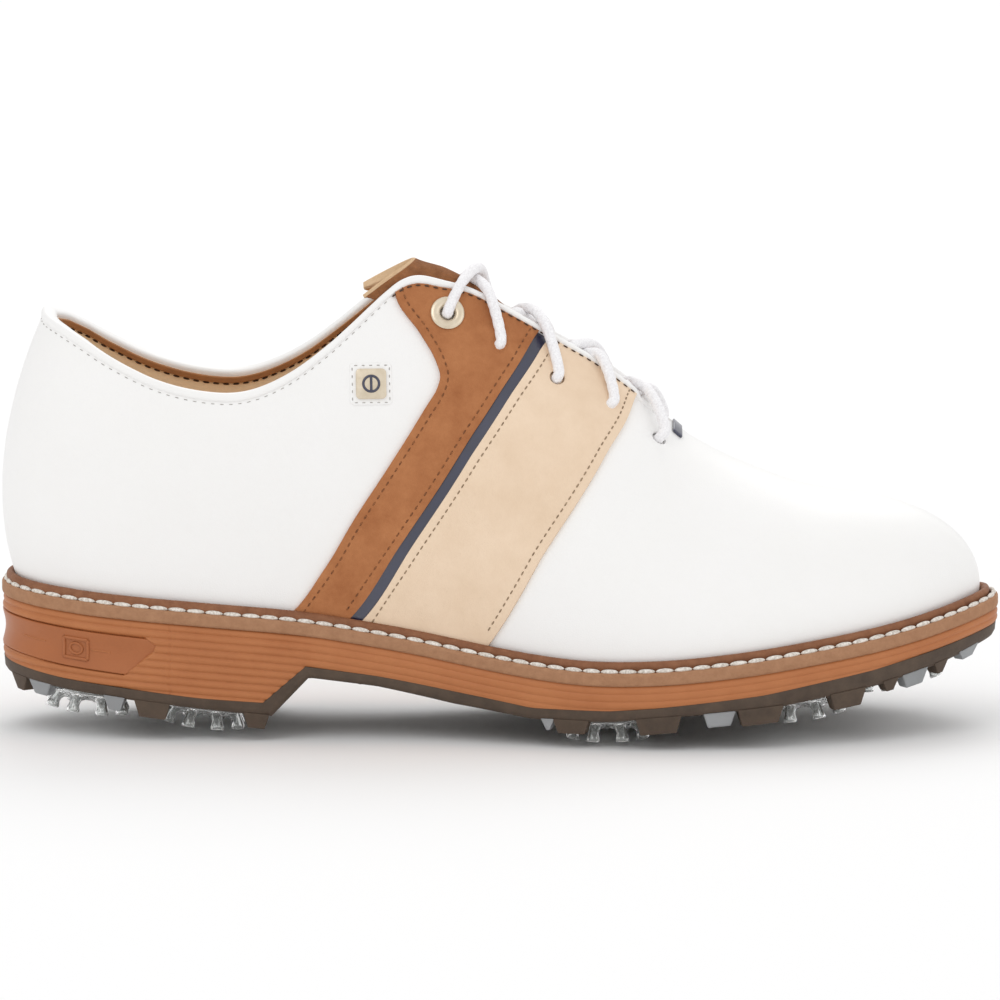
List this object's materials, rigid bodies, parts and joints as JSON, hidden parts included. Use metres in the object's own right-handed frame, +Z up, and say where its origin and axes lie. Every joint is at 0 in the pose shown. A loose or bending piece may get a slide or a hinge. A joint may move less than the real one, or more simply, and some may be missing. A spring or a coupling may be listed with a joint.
{
  "type": "golf shoe",
  "caption": "White leather golf shoe with tan and beige saddle panels, a glossy navy stripe, white laces and a brown welted sole with clear soft cleats.",
  "frame": {"origin": "middle of the shoe's bounding box, on the ground under the cleats", "axes": "+X from heel to toe, +Y to the medial side, +Z up"},
  "size_m": [0.2999, 0.1059, 0.1415],
  "materials": {
    "white_leather": "smooth full-grain, soft sheen",
    "tan_leather": "waxy pebbled grain",
    "beige_leather": "fine nubuck",
    "navy_leather": "high gloss",
    "lining_leather": "matte",
    "brown_leather": "smooth",
    "suede": "napped",
    "stitch_thread": "twisted thread",
    "lace_cotton": "round braid",
    "welt_leather": "burnished",
    "stacked_leather": "grooved and burnished",
    "outsole_rubber": "matte",
    "clear_tpu": "clear, slightly smoky",
    "champagne_metal": "satin champagne",
    "shank_steel": "plain",
    "fibre_board": "fibre board",
    "cork": "granular"
  },
  "bodies": {
    "shoe": {"outsole": "outsole_rubber", "midsole": "stacked_leather", "heel_panel": "stacked_leather", "welt": "welt_leather", "welt_stitching": "stitch_thread", "insole_board": "fibre_board", "cork_filler": "cork", "shank": "shank_steel", "footbed": "lining_leather", "heel_counter": "fibre_board", "toe_puff": "fibre_board", "quarter_lining": "lining_leather", "vamp_lining": "lining_leather", "heel_grip": "suede", "vamp": "white_leather", "quarter_lateral": "white_leather", "quarter_medial": "white_leather", "saddle_lateral": "tan_leather", "saddle_medial": "tan_leather", "stripe_lateral": "navy_leather", "stripe_medial": "navy_leather", "panel_lateral": "beige_leather", "panel_medial": "beige_leather", "topline_binding": "white_leather", "lace": "lace_cotton", "eyelet_lateral": "champagne_metal", "eyelet_medial": "champagne_metal", "emblem_patch": "white_leather", "emblem_plate": "champagne_metal", "throat_tab": "navy_leather", "clear_lug_lateral_1": "clear_tpu", "clear_lug_lateral_2": "clear_tpu", "clear_lug_lateral_3": "clear_tpu", "clear_lug_medial_1": "clear_tpu", "clear_lug_medial_2": "clear_tpu", "clear_lug_medial_3": "clear_tpu", "cleat_receptacle_heel_rear_lateral": "outsole_rubber", "cleat_receptacle_heel_rear_medial": "outsole_rubber", "cleat_receptacle_heel_front_lateral": "outsole_rubber", "cleat_receptacle_heel_front_medial": "outsole_rubber", "cleat_receptacle_ball_lateral": "outsole_rubber", "cleat_receptacle_ball_medial": "outsole_rubber", "cleat_receptacle_forefoot_lateral": "outsole_rubber", "cleat_receptacle_forefoot_medial": "outsole_rubber", "cleat_receptacle_toe": "outsole_rubber"},
    "tongue": {"tongue": "brown_leather", "tongue_lining": "lining_leather"},
    "cleat_heel_rear_lateral": {"cleat_heel_rear_lateral": "clear_tpu"},
    "cleat_heel_rear_medial": {"cleat_heel_rear_medial": "clear_tpu"},
    "cleat_heel_front_lateral": {"cleat_heel_front_lateral": "clear_tpu"},
    "cleat_heel_front_medial": {"cleat_heel_front_medial": "clear_tpu"},
    "cleat_ball_lateral": {"cleat_ball_lateral": "clear_tpu"},
    "cleat_ball_medial": {"cleat_ball_medial": "clear_tpu"},
    "cleat_forefoot_lateral": {"cleat_forefoot_lateral": "clear_tpu"},
    "cleat_forefoot_medial": {"cleat_forefoot_medial": "clear_tpu"},
    "cleat_toe": {"cleat_toe": "clear_tpu"}
  },
  "joints": [
    {"name": "twist_heel_rear_lateral", "type": "hinge", "parent": "shoe", "child": "cleat_heel_rear_lateral", "pos_m": [-0.123, -0.0148, 0.01327], "axis": [0.128, 0, 0.9918], "range_deg": [0, 60]},
    {"name": "twist_heel_rear_medial", "type": "hinge", "parent": "shoe", "child": "cleat_heel_rear_medial", "pos_m": [-0.123, 0.0148, 0.01327], "axis": [0.128, 0, 0.9918], "range_deg": [0, 60]},
    {"name": "twist_heel_front_lateral", "type": "hinge", "parent": "shoe", "child": "cleat_heel_front_lateral", "pos_m": [-0.0885, -0.017, 0.00914], "axis": [0.1097, 0, 0.994], "range_deg": [0, 60]},
    {"name": "twist_heel_front_medial", "type": "hinge", "parent": "shoe", "child": "cleat_heel_front_medial", "pos_m": [-0.0885, 0.016, 0.00914], "axis": [0.1097, 0, 0.994], "range_deg": [0, 60]},
    {"name": "twist_ball_lateral", "type": "hinge", "parent": "shoe", "child": "cleat_ball_lateral", "pos_m": [0.032, -0.033, 0.0078], "axis": [0, 0, 1], "range_deg": [0, 60]},
    {"name": "twist_ball_medial", "type": "hinge", "parent": "shoe", "child": "cleat_ball_medial", "pos_m": [0.034, 0.027, 0.008], "axis": [0, 0, 1], "range_deg": [0, 60]},
    {"name": "twist_forefoot_lateral", "type": "hinge", "parent": "shoe", "child": "cleat_forefoot_lateral", "pos_m": [0.09, -0.027, 0.0132], "axis": [-0.1408, 0, 0.99], "range_deg": [0, 60]},
    {"name": "twist_forefoot_medial", "type": "hinge", "parent": "shoe", "child": "cleat_forefoot_medial", "pos_m": [0.086, 0.029, 0.01256], "axis": [-0.1242, 0, 0.9923], "range_deg": [0, 60]},
    {"name": "twist_toe", "type": "hinge", "parent": "shoe", "child": "cleat_toe", "pos_m": [0.119, 0.002, 0.01838], "axis": [-0.2251, 0, 0.9743], "range_deg": [0, 60]},
    {"name": "tongue_flap", "type": "hinge", "parent": "shoe", "child": "tongue", "pos_m": [0.0585, 0, 0.0723], "axis": [0, 1, 0], "range_deg": [-10, 0], "stiffness_Nm_per_rad": 0.5}
  ]
}
